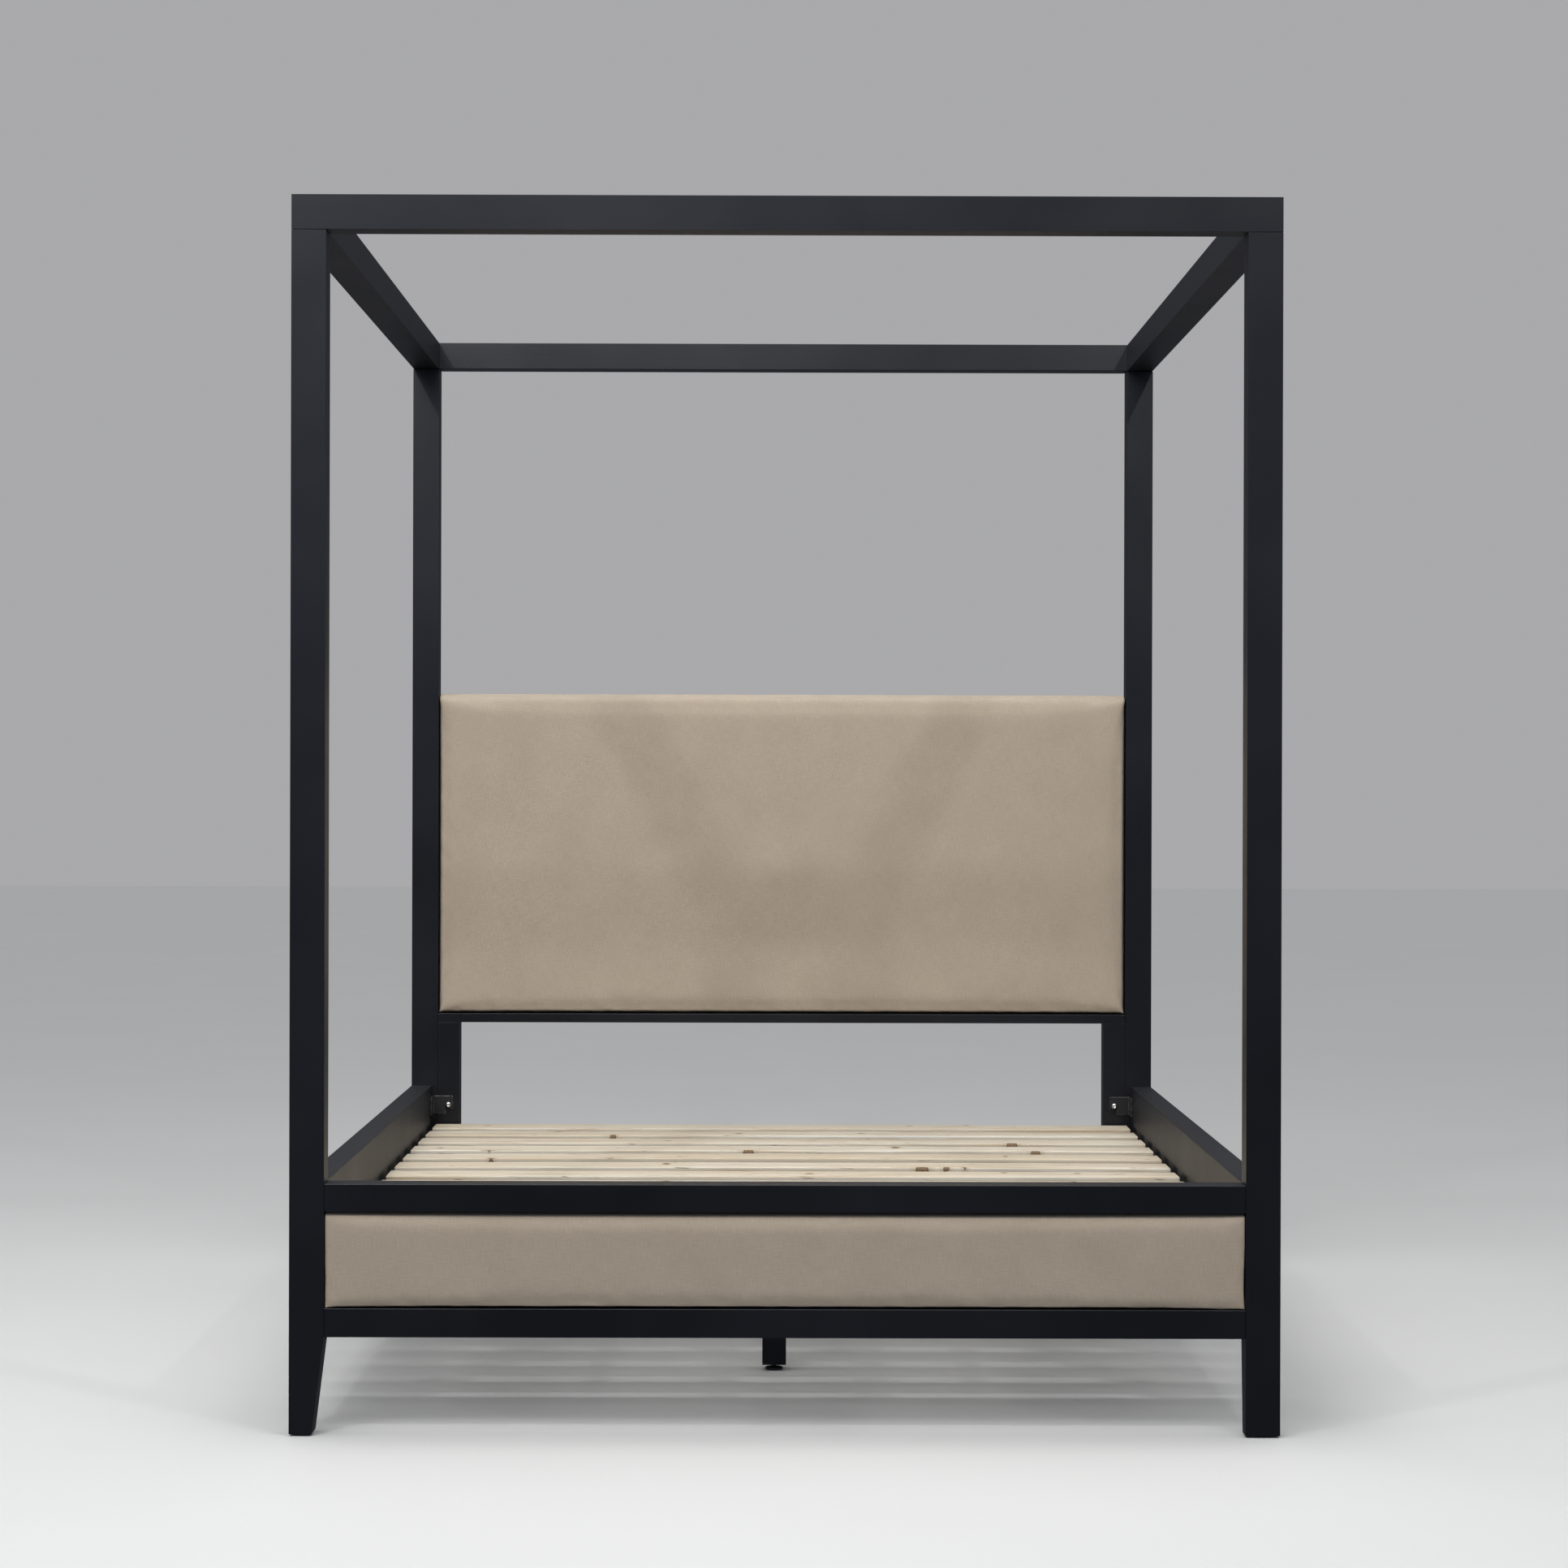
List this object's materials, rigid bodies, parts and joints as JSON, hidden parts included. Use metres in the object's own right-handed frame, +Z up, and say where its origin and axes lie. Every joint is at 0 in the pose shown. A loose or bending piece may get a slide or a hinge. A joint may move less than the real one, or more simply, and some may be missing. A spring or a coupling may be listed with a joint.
{
  "type": "four poster canopy bed",
  "caption": "Four poster canopy bed for a queen mattress: square black posts and canopy rails, upholstered headboard and footboard, pine slat deck on a centre beam.",
  "frame": {"origin": "on the floor, under the middle of the frame", "axes": "+Z up, +Y from the foot towards the headboard, +X to the right seen from the foot"},
  "size_m": [1.651, 2.168, 2.067],
  "materials": {
    "black_paint": "satin black paint on timber",
    "upholstery_cloth": "plain woven melange cloth over foam",
    "core_board": "plywood core under a black dust cloth",
    "pine": "planed, unfinished",
    "webbing": "woven tape",
    "black_steel": "black powder coat",
    "zinc_steel": "bright zinc plate",
    "glide_plastic": "moulded"
  },
  "bodies": {
    "frame": {"post_front_left": "black_paint", "post_glide_front_left": "glide_plastic", "canopy_pin_front_left": "zinc_steel", "post_front_right": "black_paint", "post_glide_front_right": "glide_plastic", "canopy_pin_front_right": "zinc_steel", "post_head_right": "black_paint", "post_glide_head_right": "glide_plastic", "canopy_pin_head_right": "zinc_steel", "post_head_left": "black_paint", "post_glide_head_left": "glide_plastic", "canopy_pin_head_left": "zinc_steel", "canopy_rail_front": "black_paint", "canopy_rail_head": "black_paint", "canopy_rail_left": "black_paint", "canopy_rail_right": "black_paint", "footboard_top_rail": "black_paint", "footboard_bottom_rail": "black_paint", "footboard_cushion": "upholstery_cloth", "footboard_core_board": "core_board", "headboard_cushion": "upholstery_cloth", "headboard_core_board": "core_board", "headboard_bottom_rail": "black_paint", "headboard_leg_right": "black_paint", "headboard_leg_left": "black_paint", "head_cross_rail": "black_paint", "side_rail_left": "black_paint", "side_rail_right": "black_paint", "slat_cleat_left": "black_paint", "slat_cleat_right": "black_paint", "centre_beam": "black_paint", "beam_hanger_foot": "black_steel", "beam_hanger_head": "black_steel", "centre_leg_front": "black_paint", "centre_leg_rear": "black_paint", "rail_bracket_front_left": "black_steel", "bracket_bolt_front_left": "zinc_steel", "rail_bracket_front_right": "black_steel", "bracket_bolt_front_right": "zinc_steel", "rail_bracket_head_left": "black_steel", "bracket_bolt_head_left": "zinc_steel", "rail_bracket_head_right": "black_steel", "bracket_bolt_head_right": "zinc_steel"},
    "slat_deck": {"slat_01": "pine", "slat_02": "pine", "slat_03": "pine", "slat_04": "pine", "slat_05": "pine", "slat_06": "pine", "slat_07": "pine", "slat_08": "pine", "slat_09": "pine", "slat_10": "pine", "slat_11": "pine", "slat_12": "pine", "slat_webbing_left": "webbing", "slat_webbing_right": "webbing"},
    "leveller_front": {"leveller_foot_front": "glide_plastic"},
    "leveller_rear": {"leveller_foot_rear": "glide_plastic"}
  },
  "joints": [
    {"name": "slat_deck_lift", "type": "slide", "parent": "frame", "child": "slat_deck", "axis": [0, 0, 1], "range_m": [0, 0.2]},
    {"name": "leveller_front_screw", "type": "slide", "parent": "frame", "child": "leveller_front", "axis": [0, 0, 1], "range_m": [-0.012, 0.004]},
    {"name": "leveller_rear_screw", "type": "slide", "parent": "frame", "child": "leveller_rear", "axis": [0, 0, 1], "range_m": [-0.012, 0.004]}
  ]
}
